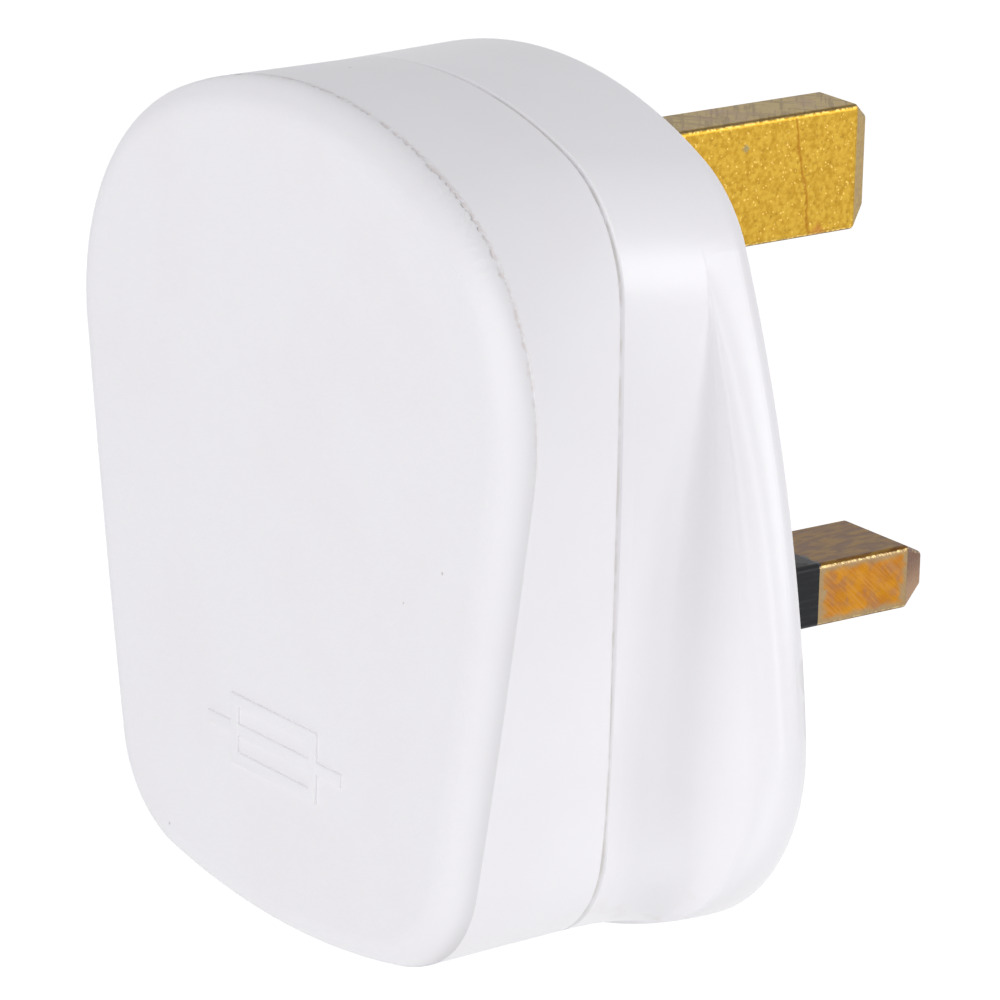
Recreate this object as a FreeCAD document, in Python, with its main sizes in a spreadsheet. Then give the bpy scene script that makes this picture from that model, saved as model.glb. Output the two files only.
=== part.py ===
import FreeCAD, Part
import Sketcher
import math
import os
from types import SimpleNamespace

# A three pin plug with flat pins, of the kind that takes its own cartridge fuse.
# Millimetres. The pins point along +Y, the earth pin is uppermost along +Z and the live pin is on
# the +X side. The origin lies on the face that meets the socket, midway between the two lower pins.
# A depth is measured from that face into the plug, along -Y.

SIZES = {
    # Pins, as the standard for such plugs gives them
    "pin_pitch": 22.2,
    "earth_rise": 22.2,
    "pin_width": 6.35,
    "pin_thickness": 3.97,
    "pin_reach": 18.2,
    "pin_tip_length": 1.9,
    "pin_tip_inset": 0.95,
    "earth_width": 7.95,
    "earth_thickness": 3.97,
    "earth_reach": 22.7,
    "earth_tip_length": 1.6,
    "earth_tip_inset": 1.1,
    "pin_edge_round": 0.35,
    "sleeve_reach": 9.5,
    "sleeve_skin": 0.8,
    "sleeve_root": 2.2,
    "slot_fit": 0.1,
    # Shells
    "base_depth": 8.95,
    "cover_depth": 11.1,
    "wall": 2.2,
    "floor_thickness": 3.0,
    "cover_skin": 2.2,
    "rim_round": 2.0,
    "rim_land": 0.2,
    "flange_thickness": 3.3,
    "flange_round": 1.2,
    "flare_lean": 0.5,
    "waist_land": 1.0,
    "flare_crest": 2.0,
    "seam_break": 0.22,
    "tongue_width": 1.0,
    "tongue_height": 1.1,
    "seam_fit": 0.1,
    "side_room": 1.055,
    "top_room": 2.85,
    # Outline at the seam
    "waist_crown": 34.5,
    "waist_shoulder": 8.7,
    "waist_flank": 500.0,
    "waist_hip": 7.4,
    "waist_sole": 46.0,
    # Outline where the rim of the cover begins
    "rim_rise": 0.15,
    "rim_crown": 33.0,
    "rim_shoulder": 15.2,
    "rim_shoulder_flare": 4.3,
    "rim_flank": 650.0,
    "rim_hip": 8.0,
    "rim_hip_taper": 0.15,
    "rim_sole": 56.0,
    # Outline of the flange that meets the socket
    "flange_rise": 0.25,
    "flange_crown": 32.7,
    "flange_shoulder": 9.0,
    "flange_shoulder_flare": 1.4,
    "flange_flank": 96.0,
    "flange_hip": 12.8,
    "flange_hip_flare": 8.0,
    "flange_sole": 44.0,
    "flange_drop": 0.85,
    # Terminals
    "earth_block_width": 8.0,
    "earth_block_length": 8.8,
    "neutral_block_width": 7.2,
    "neutral_block_length": 8.8,
    "block_height": 6.6,
    "live_block_width": 6.4,
    "live_block_length": 5.6,
    "live_block_height": 5.8,
    "live_block_gap": 1.0,
    "live_block_room": 4.9,
    "wire_hole": 3.2,
    "wire_hole_height": 2.9,
    "wire_hole_reach": 6.6,
    "terminal_screw_shift": 1.5,
    "terminal_screw_thread": 3.5,
    "terminal_screw_head": 4.8,
    "terminal_screw_head_height": 1.6,
    "terminal_screw_stand": 0.5,
    "terminal_screw_slot": 0.8,
    "thread_fit": 0.05,
    # Fuse and its clips
    "fuse_length": 25.4,
    "fuse_diameter": 6.35,
    "fuse_cap_length": 5.8,
    "fuse_cap_skin": 0.2,
    "fuse_cap_end": 0.35,
    "fuse_bore": 4.2,
    "fuse_wire": 0.5,
    "fuse_fit": 0.02,
    "clip_strip": 0.5,
    "clip_length": 5.0,
    "clip_mouth": 4.6,
    "clip_foot_margin": 0.6,
    "live_head_height": 1.3,
    "live_head_margin": 0.8,
    "rivet_diameter": 2.0,
    "rivet_head": 3.2,
    "rivet_head_height": 0.5,
    # Flex inlet and grip
    "inlet_diameter": 8.6,
    "inlet_collar": 2.4,
    "inlet_collar_wall": 2.0,
    "grip_fuse_gap": 2.65,
    "grip_length": 4.8,
    "grip_gap": 0.4,
    "grip_strip": 1.8,
    "grip_clear": 0.4,
    "grip_seat_drop": 2.2,
    "grip_boss": 5.2,
    "grip_screw": 3.0,
    "grip_screw_head": 5.0,
    "grip_screw_head_height": 1.7,
    "grip_screw_bite": 3.6,
    "grip_tooth": 1.0,
    "grip_tooth_height": 1.4,
    "grip_tooth_pitch": 2.4,
    # Screw that holds the two halves together
    "screw_rise": 9.4,
    "screw_thread": 3.9,
    "screw_head": 6.8,
    "screw_head_height": 2.0,
    "screw_head_sink": 0.4,
    "screw_head_fit": 0.3,
    "screw_slot": 1.0,
    "screw_slot_depth": 1.0,
    "screw_hole_fit": 0.25,
    "screw_end_room": 1.0,
    "pillar_diameter": 8.4,
    "pillar_height": 5.2,
    "washer_diameter": 6.6,
    "washer_thickness": 0.8,
    "nut_flats": 6.0,
    "nut_height": 4.6,
    "nut_fit": 0.05,
    "boss_wall": 1.5,
    "boss_gap": 0.3,
    # Ribs
    "rib": 1.2,
    "rib_height": 5.4,
    "rib_length": 12.7,
    "post_diameter": 3.2,
    "post_gap": 0.3,
}

ARC_STEPS = 4
HEX_CORNERS = 6
# A cut this many times as long as the piece it crosses runs right through it
THROUGH = 2
TINY = 1e-4

doc = FreeCAD.newDocument("plug")
sheet = doc.addObject("Spreadsheet::Sheet", "Sizes")
for row, (alias, number) in enumerate(SIZES.items(), start=1):
    sheet.set(f"A{row}", alias)
    sheet.set(f"B{row}", str(number))
    sheet.setAlias(f"B{row}", alias)
doc.recompute()


class Size:
    """A length with its value now and the expression over the sheet that keeps it up to date."""

    def __init__(self, value, text):
        self.value = value
        self.text = text

    def __add__(self, other):
        other = as_size(other)
        return Size(self.value + other.value, f"({self.text} + {other.text})")

    def __sub__(self, other):
        other = as_size(other)
        return Size(self.value - other.value, f"({self.text} - {other.text})")

    def __mul__(self, other):
        other = as_size(other)
        return Size(self.value * other.value, f"({self.text} * {other.text})")

    def __truediv__(self, other):
        other = as_size(other)
        return Size(self.value / other.value, f"({self.text} / {other.text})")

    def __neg__(self):
        return Size(-self.value, f"(0 - {self.text})")


def as_size(number):
    return number if isinstance(number, Size) else Size(float(number), repr(float(number)))


def bind(target, name, length):
    """Tie one property of an object to an expression over the sheet."""
    target.setExpression(name, as_size(length).text)


d = SimpleNamespace(**{alias: Size(float(sheet.get(alias)), f"Sizes.{alias}") for alias in SIZES})

# Places that several pieces share
live_x = d.pin_pitch / 2
body_depth = d.base_depth + d.cover_depth
inner_cover = body_depth - d.cover_skin
rim_depth = body_depth - d.rim_round - d.rim_land
fuse_depth = d.base_depth
fuse_radius = d.fuse_diameter / 2
roof = d.earth_rise + d.earth_block_length / 2 + d.top_room
live_block_high = roof - d.live_block_room
live_block_mid = live_block_high - d.live_block_length / 2
live_block_low = live_block_high - d.live_block_length
fuse_high = live_block_low - d.live_block_gap
fuse_low = fuse_high - d.fuse_length
clip_inner = fuse_radius + d.fuse_fit
clip_outer = clip_inner + d.clip_strip
clip_foot_depth = d.floor_thickness + d.live_head_height
live_block_seat = clip_foot_depth + d.clip_strip
block_top = d.floor_thickness + d.block_height
earth_screw_z = d.earth_rise - d.terminal_screw_shift
neutral_block_z = (d.neutral_block_length - d.pin_thickness) / 2
neutral_screw_z = neutral_block_z - d.terminal_screw_shift
live_block_top = live_block_seat + d.live_block_height
inlet_radius = d.inlet_diameter / 2
grip_inner = inlet_radius + d.grip_clear
grip_outer = grip_inner + d.grip_strip
grip_drop = d.grip_fuse_gap + d.grip_screw_head / 2 - fuse_low
grip_seat = d.base_depth - d.grip_seat_drop
grip_screw_x = grip_outer + d.grip_screw_head / 2 + d.grip_clear
grip_half = grip_screw_x + d.grip_screw_head / 2 + d.grip_clear
pillar_top = d.floor_thickness + d.pillar_height
washer_top = pillar_top + d.washer_thickness
boss_end = washer_top + d.boss_gap
nut_low = boss_end
nut_high = boss_end + d.nut_height
screw_end = nut_high + d.screw_end_room / 2
head_seat = d.screw_head_sink + d.screw_head_height

# The flare: the angle it turns through, and how far each rounding runs back from its corner
flare_turn = math.atan2(d.flange_hip_flare.value, d.flare_lean.value)
flare_bend = math.tan(flare_turn / 2)
flange_land = d.flange_thickness - d.flare_crest * flare_bend
flare_end = d.base_depth - d.waist_land
flare_hollow = (flare_end - d.flange_thickness - d.flare_lean) / flare_bend

# Outer outlines, worked outwards from the pieces that the walls go round
WAIST = {
    "top": roof + d.wall,
    "crown": d.waist_crown,
    "shoulder": d.waist_shoulder,
    "upper_half": live_x + clip_outer + d.side_room + d.wall,
    "flank": d.waist_flank,
    "lower_half": live_x + clip_outer + d.side_room + d.wall,
    "hip": d.waist_hip,
    "bottom": grip_drop + d.grip_length / 2 + d.grip_gap + d.inlet_collar + d.wall,
    "sole": d.waist_sole,
}
RIM = {
    "top": WAIST["top"] + d.rim_rise,
    "crown": d.rim_crown,
    "shoulder": d.rim_shoulder,
    "upper_half": WAIST["upper_half"] + d.rim_shoulder_flare,
    "flank": d.rim_flank,
    "lower_half": WAIST["lower_half"] - d.rim_hip_taper,
    "hip": d.rim_hip,
    "bottom": WAIST["bottom"],
    "sole": d.rim_sole,
}
FLANGE = {
    "top": WAIST["top"] + d.flange_rise,
    "crown": d.flange_crown,
    "shoulder": d.flange_shoulder,
    "upper_half": WAIST["upper_half"] + d.flange_shoulder_flare,
    "flank": d.flange_flank,
    "lower_half": WAIST["lower_half"] + d.flange_hip_flare,
    "hip": d.flange_hip,
    "bottom": WAIST["bottom"] + d.flange_drop,
    "sole": d.flange_sole,
}


def inset(shape, distance):
    """The parallel outline inside another: every arc keeps its centre."""
    return {name: length - distance for name, length in shape.items()}


def blend(shape, other, share):
    """An outline between two others. The flank is blended by its curvature."""
    mixed = {name: length + (other[name] - length) * share for name, length in shape.items()}
    bend = as_size(1 - share) / shape["flank"] + as_size(share) / other["flank"]
    mixed["flank"] = as_size(1) / bend
    return mixed


def new_body(name):
    body = doc.addObject("PartDesign::Body", name)
    body.Label = name
    return body


def new_sketch(body, name, role, offset):
    """A sketch on one of the body's own origin planes, moved along the plane's normal."""
    sketch = body.newObject("Sketcher::SketchObject", f"{body.Name}_{name}")
    origin_plane = next(item for item in body.Origin.OriginFeatures if item.Role == role)
    sketch.AttachmentSupport = [(origin_plane, "")]
    sketch.MapMode = "FlatFace"
    bind(sketch, "AttachmentOffset.Base.z", offset)
    return sketch


def across(body, name, depth):
    """A sketch square to the pins, at a depth from the socket face: its axes are X and Z."""
    return new_sketch(body, name, "XZ_Plane", depth)


def level(body, name, height):
    """A horizontal sketch at a height: its axes are X and Y."""
    return new_sketch(body, name, "XY_Plane", height)


def upright(body, name, place):
    """A sketch square to X: its axes are Y and Z."""
    return new_sketch(body, name, "YZ_Plane", place)


def dimension(sketch, kind, references, length):
    """Add one driving dimension and tie it to the sheet."""
    index = sketch.addConstraint(Sketcher.Constraint(kind, *references, length.value))
    bind(sketch, f"Constraints[{index}]", length)


def place_point(sketch, geometry, point, x, y):
    dimension(sketch, "DistanceX", (-1, 1, geometry, point), as_size(x))
    dimension(sketch, "DistanceY", (-1, 1, geometry, point), as_size(y))


def polygon(sketch, corners):
    corners = [(as_size(x), as_size(y)) for x, y in corners]
    first = sketch.GeometryCount
    points = [FreeCAD.Vector(x.value, y.value, 0) for x, y in corners]
    for start, end in zip(points, points[1:] + points[:1]):
        sketch.addGeometry(Part.LineSegment(start, end))
    for index in range(len(corners)):
        following = first + (index + 1) % len(corners)
        sketch.addConstraint(Sketcher.Constraint("Coincident", first + index, 2, following, 1))
    for index, (x, y) in enumerate(corners):
        place_point(sketch, first + index, 1, x, y)


def rectangle(sketch, x, y, width, height):
    """A rectangle about its centre."""
    x, y = as_size(x), as_size(y)
    left, right = x - width / 2, x + width / 2
    low, high = y - height / 2, y + height / 2
    polygon(sketch, [(left, low), (right, low), (right, high), (left, high)])


def circle(sketch, x, y, diameter):
    x, y = as_size(x), as_size(y)
    centre = FreeCAD.Vector(x.value, y.value, 0)
    up = FreeCAD.Vector(0, 0, 1)
    index = sketch.addGeometry(Part.Circle(centre, up, diameter.value / 2))
    place_point(sketch, index, 3, x, y)
    dimension(sketch, "Diameter", (index,), diameter)


def circle_crossing(near, near_radius, far, far_radius):
    """The crossing of two circles that has the smaller X."""
    span = math.dist(near, far)
    along = (near_radius**2 - far_radius**2 + span**2) / (2 * span)
    aside = math.sqrt(near_radius**2 - along**2)
    step = ((far[0] - near[0]) / span, (far[1] - near[1]) / span)
    foot = (near[0] + along * step[0], near[1] + along * step[1])
    sides = [(foot[0] + turn * aside * step[1], foot[1] - turn * aside * step[0]) for turn in (1, -1)]
    return min(sides)


def heading(start, end):
    return math.atan2(end[1] - start[1], end[0] - start[0])


def outline_arcs(shape):
    """Right-hand arcs of an outline from sole to crown: name, centre, radius, first and last angle."""
    radius = {name: shape[name].value for name in ("sole", "hip", "flank", "shoulder", "crown")}
    crown = (0.0, shape["top"].value - radius["crown"])
    sole = (0.0, radius["sole"] - shape["bottom"].value)
    shoulder_x = shape["upper_half"].value - radius["shoulder"]
    hip_x = shape["lower_half"].value - radius["hip"]
    shoulder_rise = math.sqrt((radius["crown"] - radius["shoulder"]) ** 2 - shoulder_x**2)
    hip_fall = math.sqrt((radius["sole"] - radius["hip"]) ** 2 - hip_x**2)
    shoulder = (shoulder_x, crown[1] + shoulder_rise)
    hip = (hip_x, sole[1] - hip_fall)
    shoulder_gap = radius["flank"] - radius["shoulder"]
    flank = circle_crossing(shoulder, shoulder_gap, hip, radius["flank"] - radius["hip"])
    turns = [-math.pi / 2, heading(sole, hip), heading(flank, hip)]
    turns += [heading(flank, shoulder), heading(crown, shoulder), math.pi / 2]
    centres = {"sole": sole, "hip": hip, "flank": flank, "shoulder": shoulder, "crown": crown}
    return [(name, centres[name], radius[name], turns[i], turns[i + 1]) for i, name in enumerate(radius)]


def shoulder_height(shape):
    """Height at which the shoulder of an outline runs into its flank."""
    _, centre, radius, start, _ = outline_arcs(shape)[3]
    return centre[1] + radius * math.sin(start)


def outline(sketch, shape, split=None, height=None):
    """A closed outline of tangent arcs, the same on both sides: sole, hip, flank, shoulder, crown.

    One arc of each side can be split at a height, so that two outlines match piece by piece.
    """
    right = []
    for name, centre, radius, start, end in outline_arcs(shape):
        stops = [start, end]
        if name == split:
            stops.insert(1, math.asin((height - centre[1]) / radius))
        right += [(name, centre, radius, low, high) for low, high in zip(stops, stops[1:])]
    left = [
        (name, (-centre[0], centre[1]), radius, math.pi - high, math.pi - low)
        for name, centre, radius, low, high in reversed(right)
    ]
    sole, crown = right[0], right[-1]
    crown_arc = crown[:3] + (crown[3], math.pi - crown[3])
    sole_arc = sole[:3] + (math.pi - sole[4], 2 * math.pi + sole[4])
    arcs = [sole_arc] + right[1:-1] + [crown_arc] + left[1:-1]

    first = sketch.GeometryCount
    up = FreeCAD.Vector(0, 0, 1)
    for _, centre, radius, start, end in arcs:
        whole = Part.Circle(FreeCAD.Vector(*centre, 0), up, radius)
        sketch.addGeometry(Part.ArcOfCircle(whole, start, end))
    for index, arc in enumerate(arcs):
        after = (index + 1) % len(arcs)
        ends = (first + index, 2, first + after, 1)
        if arc[:2] == arcs[after][:2]:
            sketch.addConstraint(Sketcher.Constraint("Coincident", *ends))
            centres = (first + index, 3, first + after, 3)
            sketch.addConstraint(Sketcher.Constraint("Coincident", *centres))
            dimension(sketch, "DistanceY", (-1, 1, first + index, 2), as_size(height))
        else:
            sketch.addConstraint(Sketcher.Constraint("Tangent", *ends))

    middle = arcs.index(crown_arc)
    for index, centre_z in (
        (0, shape["sole"] - shape["bottom"]),
        (middle, shape["top"] - shape["crown"]),
    ):
        sketch.addConstraint(Sketcher.Constraint("PointOnObject", first + index, 3, -2))
        dimension(sketch, "DistanceY", (-1, 1, first + index, 3), centre_z)
        dimension(sketch, "Radius", (first + index,), shape[arcs[index][0]])
    halves = (arcs[:middle], arcs[middle:])
    for name in ("hip", "flank", "shoulder"):
        right_place, left_place = ([arc[0] for arc in half].index(name) for half in halves)
        sides = (first + right_place, first + middle + left_place)
        dimension(sketch, "Radius", (sides[0],), shape[name])
        sketch.addConstraint(Sketcher.Constraint("Equal", *sides))
        if name != "flank":
            centre_x = shape["lower_half" if name == "hip" else "upper_half"] - shape[name]
            dimension(sketch, "DistanceX", (-1, 1, sides[0], 3), centre_x)
            dimension(sketch, "DistanceX", (-1, 1, sides[1], 3), -centre_x)


def sketch_feature(body, kind, sketch, length, reverse):
    feature = body.newObject(f"PartDesign::{kind}", f"{sketch.Name}_{kind.lower()}")
    feature.Profile = sketch
    bind(feature, "Length", length)
    feature.Reversed = reverse
    feature.Refine = False
    return feature


def pad(body, sketch, length, reverse=False):
    """Add material along the sketch's normal, or against it."""
    return sketch_feature(body, "Pad", sketch, length, reverse)


def pocket(body, sketch, length, reverse=False):
    """Remove material against the sketch's normal, or along it."""
    return sketch_feature(body, "Pocket", sketch, length, reverse)


def loft(body, kind, sketches, ruled):
    feature = body.newObject(f"PartDesign::{kind}", f"{sketches[0].Name}_loft")
    feature.Profile = sketches[0]
    feature.Sections = sketches[1:]
    feature.Ruled = ruled
    feature.Refine = False
    return feature


def edges_where(feature, test):
    """Names of the edges that pass a test on the Y of their lowest and highest ends."""
    doc.recompute()
    names = []
    for number, edge in enumerate(feature.Shape.Edges, start=1):
        ends = [vertex.Point.y for vertex in edge.Vertexes]
        if test(min(ends), max(ends)):
            names.append(f"Edge{number}")
    return names


def dress(body, kind, base, edges, length):
    """Round or bevel the named edges of the last feature."""
    feature = body.newObject(f"PartDesign::{kind}", f"{base.Name}_{kind.lower()}")
    feature.Base = (base, edges)
    bind(feature, "Radius" if kind == "Fillet" else "Size", length)
    return feature


def at_depth(depth):
    """A test for edges that lie at one depth from the socket face."""
    return lambda low, high: abs(low + depth.value) < TINY and abs(high + depth.value) < TINY


def drill_inlet(body):
    """The round way in for the flex, on the seam, shared by both halves."""
    start = WAIST["bottom"] + d.wall
    sketch = level(body, "inlet", -start)
    circle(sketch, 0, -d.base_depth, d.inlet_diameter)
    pocket(body, sketch, d.wall * 2 + d.inlet_collar, reverse=True)


def collar_sketch(body, depth):
    """The block behind the inlet that lengthens its bore."""
    sketch = across(body, "collar", depth)
    low = WAIST["bottom"] - d.wall / 2
    high = grip_drop + d.grip_length / 2 + d.grip_gap
    width = d.inlet_diameter + d.inlet_collar_wall * 2
    rectangle(sketch, 0, -(low + high) / 2, width, low - high)
    return sketch


def grip_shape(depth, share):
    """An outline of the base: the flank follows the hollow, the shoulder runs straight to the seam."""
    straight = (d.base_depth - depth).value / (d.base_depth - flange_land).value
    shoulder = blend(WAIST, FLANGE, straight)
    kept = ("top", "crown", "shoulder", "upper_half")
    return blend(WAIST, FLANGE, share) | {name: shoulder[name] for name in kept}


def add_flare(body, chest):
    """The finger grip: a rounded crest, a steep slope, a hollow, and the waist that reaches the seam."""
    crest_share = d.flare_crest.value / d.flange_hip_flare.value
    hollow_share = flare_hollow.value / d.flange_hip_flare.value
    crest = []
    hollow = []
    for step in range(ARC_STEPS + 1):
        turn = flare_turn * step / ARC_STEPS
        along, aside = math.sin(turn), 1 - math.cos(turn)
        crest.append((flange_land + d.flare_crest * along, 1 - crest_share * aside))
        hollow.insert(0, (flare_end - flare_hollow * along, hollow_share * aside))
    slope = [crest[-1], hollow[0]]
    waist = [hollow[-1], (d.base_depth, 0.0)]
    stretches = {"crest": crest, "slope": slope, "hollow": hollow, "waist": waist}
    for name, stations in stretches.items():
        sketches = []
        for step, (depth, share) in enumerate(stations):
            sketches.append(across(body, f"{name}_{step}", depth))
            outline(sketches[-1], grip_shape(depth, share), "flank", chest)
        shell = loft(body, "AdditiveLoft", sketches, ruled=name in ("slope", "waist"))
    return shell


def make_base():
    """The moulded base: flared grip outside, floor with the pin slots, pillars and ribs inside."""
    body = new_body("base")
    chest = shoulder_height(RIM)
    land = across(body, "land", 0)
    outline(land, FLANGE, "flank", chest)
    plate = pad(body, land, flange_land)
    dress(body, "Fillet", plate, edges_where(plate, at_depth(as_size(0))), d.flange_round)
    shell = add_flare(body, chest)
    dress(body, "Chamfer", shell, edges_where(shell, at_depth(d.base_depth)), d.seam_break)

    cavity = across(body, "cavity", d.base_depth)
    outline(cavity, inset(WAIST, d.wall))
    pocket(body, cavity, d.base_depth - d.floor_thickness)

    pad(body, collar_sketch(body, d.floor_thickness), d.base_depth - d.floor_thickness)

    pillar = across(body, "pillar", d.floor_thickness)
    circle(pillar, 0, d.screw_rise, d.pillar_diameter)
    pad(body, pillar, d.pillar_height)

    bosses = across(body, "grip_bosses", d.floor_thickness)
    for side in (-1, 1):
        circle(bosses, grip_screw_x * side, -grip_drop, d.grip_boss)
    pad(body, bosses, grip_seat - d.floor_thickness)

    teeth = across(body, "grip_teeth", d.floor_thickness)
    for side in (-1, 1):
        tooth_z = -grip_drop + d.grip_tooth_pitch * side / 2
        rectangle(teeth, 0, tooth_z, grip_screw_x * 2 - d.grip_boss, d.grip_tooth)
    pad(body, teeth, d.grip_tooth_height)

    fuse_seat = across(body, "fuse_seat", d.floor_thickness)
    seat_low = fuse_high - d.clip_length - d.clip_foot_margin
    seat_length = live_block_high - seat_low
    rectangle(fuse_seat, live_x, seat_low + seat_length / 2, clip_outer * 2, seat_length)
    pad(body, fuse_seat, d.live_head_height)

    ribs = across(body, "ribs", d.floor_thickness)
    earth_side = d.earth_block_width / 2
    live_side = live_x - clip_outer
    rib_x = (earth_side + live_side) / 2
    block_low = d.earth_rise - d.earth_block_length / 2
    for side in (-1, 1):
        rectangle(ribs, rib_x * side, (block_low + roof) / 2, d.rib, roof - block_low - d.top_room)
        rectangle(ribs, rib_x * side, 0, d.rib, d.rib_length)
    pad(body, ribs, d.rib_height)

    rebate = across(body, "rebate", d.base_depth)
    outline(rebate, inset(WAIST, d.wall - d.tongue_width - d.seam_fit))
    outline(rebate, inset(WAIST, d.wall + d.seam_fit))
    pocket(body, rebate, d.tongue_height + d.seam_fit)

    slots = across(body, "pin_slots", d.floor_thickness)
    for side in (-1, 1):
        slot_width = d.pin_width + d.slot_fit * 2
        rectangle(slots, live_x * side, 0, slot_width, d.pin_thickness + d.slot_fit * 2)
    earth_slot = d.earth_thickness + d.slot_fit * 2
    rectangle(slots, 0, d.earth_rise, earth_slot, d.earth_width + d.slot_fit * 2)
    pocket(body, slots, d.floor_thickness * THROUGH)

    head_hole = across(body, "head_hole", 0)
    circle(head_hole, 0, d.screw_rise, d.screw_head + d.screw_head_fit * 2)
    pocket(body, head_hole, head_seat, reverse=True)

    screw_hole = across(body, "screw_hole", pillar_top)
    circle(screw_hole, 0, d.screw_rise, d.screw_thread + d.screw_hole_fit * 2)
    pocket(body, screw_hole, pillar_top)

    pilot_holes = across(body, "pilot_holes", grip_seat)
    for side in (-1, 1):
        circle(pilot_holes, grip_screw_x * side, -grip_drop, d.grip_screw + d.thread_fit * 2)
    pocket(body, pilot_holes, d.grip_screw_bite)

    rivet_hole = across(body, "rivet_hole", clip_foot_depth)
    circle(rivet_hole, live_x, live_block_mid, d.rivet_head + d.slot_fit * 2)
    pocket(body, rivet_hole, d.live_head_height)

    drill_inlet(body)


def make_cover():
    """The moulded cover: rounded rim, tapered wall, and inside it the nut boss and the posts."""
    body = new_body("cover")
    chest, shoulder = shoulder_height(RIM), shoulder_height(WAIST)
    seam = across(body, "seam", d.base_depth)
    outline(seam, WAIST, "flank", chest)
    crease = across(body, "crease", rim_depth)
    outline(crease, RIM, "shoulder", shoulder)
    loft(body, "AdditiveLoft", [seam, crease], ruled=True)
    rim = across(body, "rim", rim_depth)
    outline(rim, RIM)
    shell = pad(body, rim, d.rim_round + d.rim_land)
    shell = dress(body, "Fillet", shell, edges_where(shell, at_depth(body_depth)), d.rim_round)
    seam_edges = edges_where(shell, at_depth(d.base_depth))
    dress(body, "Chamfer", shell, seam_edges, d.seam_break)

    mouth = across(body, "mouth", d.base_depth)
    outline(mouth, inset(WAIST, d.wall), "flank", chest)
    ceiling = across(body, "ceiling", inner_cover)
    outline(ceiling, inset(RIM, d.wall), "shoulder", shoulder)
    loft(body, "SubtractiveLoft", [mouth, ceiling], ruled=True)

    tongue = across(body, "tongue", d.base_depth)
    outline(tongue, inset(WAIST, d.wall - d.tongue_width))
    outline(tongue, inset(WAIST, d.wall))
    pad(body, tongue, d.tongue_height, reverse=True)

    pad(body, collar_sketch(body, d.base_depth), inner_cover - d.base_depth)

    boss = across(body, "nut_boss", boss_end)
    nut_corners = (d.nut_flats + d.nut_fit * 2) / math.cos(math.pi / HEX_CORNERS)
    circle(boss, 0, d.screw_rise, nut_corners + d.boss_wall * 2)
    pad(body, boss, inner_cover - boss_end)

    post_step = (d.terminal_screw_head + d.post_diameter) / 2 + d.post_gap
    for name, x, z, depth in (
        ("earth_post", 0, earth_screw_z + post_step, block_top + d.post_gap),
        ("neutral_post", -live_x, neutral_screw_z + post_step, block_top + d.post_gap),
        ("fuse_post", live_x, (fuse_low + fuse_high) / 2, fuse_depth + fuse_radius + d.post_gap),
    ):
        post = across(body, name, depth)
        circle(post, x, z, d.post_diameter)
        pad(body, post, inner_cover - depth)

    nut_hole = across(body, "nut_hole", boss_end)
    hexagon(nut_hole, 0, d.screw_rise, d.nut_flats + d.nut_fit * 2)
    pocket(body, nut_hole, d.nut_height, reverse=True)

    end_hole = across(body, "end_hole", boss_end)
    circle(end_hole, 0, d.screw_rise, d.screw_thread + d.screw_hole_fit * 2)
    pocket(body, end_hole, d.nut_height + d.screw_end_room, reverse=True)

    drill_inlet(body)


def hexagon(sketch, x, y, flats):
    x, y = as_size(x), as_size(y)
    reach = flats / 2 / math.cos(math.pi / HEX_CORNERS)
    corners = []
    for corner in range(HEX_CORNERS):
        angle = 2 * math.pi * (corner + 0.5) / HEX_CORNERS
        corners.append((x + reach * math.cos(angle), y + reach * math.sin(angle)))
    polygon(sketch, corners)


def add_tip(body, x, z, width, height, reach, length, bevel):
    """The bevelled end of a pin."""
    root = across(body, "tip_root", -(reach - length))
    rectangle(root, x, z, width, height)
    end = across(body, "tip_end", -reach)
    rectangle(end, x, z, width - bevel * 2, height - bevel * 2)
    return loft(body, "AdditiveLoft", [root, end], ruled=True)


def round_shank(body, feature, beyond):
    """Round the long edges and the bevels of a pin past a given reach."""
    start = beyond.value
    edges = edges_where(feature, lambda low, high: low > start - TINY and high > start + TINY)
    dress(body, "Fillet", feature, edges, d.pin_edge_round)


def drill_terminal(body, x, z, top, wire_depth):
    """The clamp screw's hole, from the top of a terminal block down to its wire hole."""
    sketch = across(body, "screw_hole", top)
    circle(sketch, x, z, d.terminal_screw_thread + d.thread_fit * 2)
    pocket(body, sketch, top - wire_depth)


def make_earth_pin():
    """The long brass earth pin, with its terminal block on the floor of the base."""
    body = new_body("earth_pin")
    shank = across(body, "shank", d.floor_thickness)
    rectangle(shank, 0, d.earth_rise, d.earth_thickness, d.earth_width)
    pad(body, shank, d.floor_thickness + d.earth_reach - d.earth_tip_length, reverse=True)
    size = (d.earth_thickness, d.earth_width, d.earth_reach, d.earth_tip_length, d.earth_tip_inset)
    tip = add_tip(body, 0, d.earth_rise, *size)
    round_shank(body, tip, -d.floor_thickness)
    block = across(body, "block", d.floor_thickness)
    rectangle(block, 0, d.earth_rise, d.earth_block_width, d.earth_block_length)
    pad(body, block, d.block_height)
    wire_depth = d.floor_thickness + d.wire_hole_height
    wire = level(body, "wire_hole", d.earth_rise - d.earth_block_length / 2)
    circle(wire, 0, -wire_depth, d.wire_hole)
    pocket(body, wire, d.wire_hole_reach, reverse=True)
    drill_terminal(body, as_size(0), earth_screw_z, block_top, wire_depth)
    make_terminal_screw("earth_terminal_screw", as_size(0), earth_screw_z, block_top, wire_depth)


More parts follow.
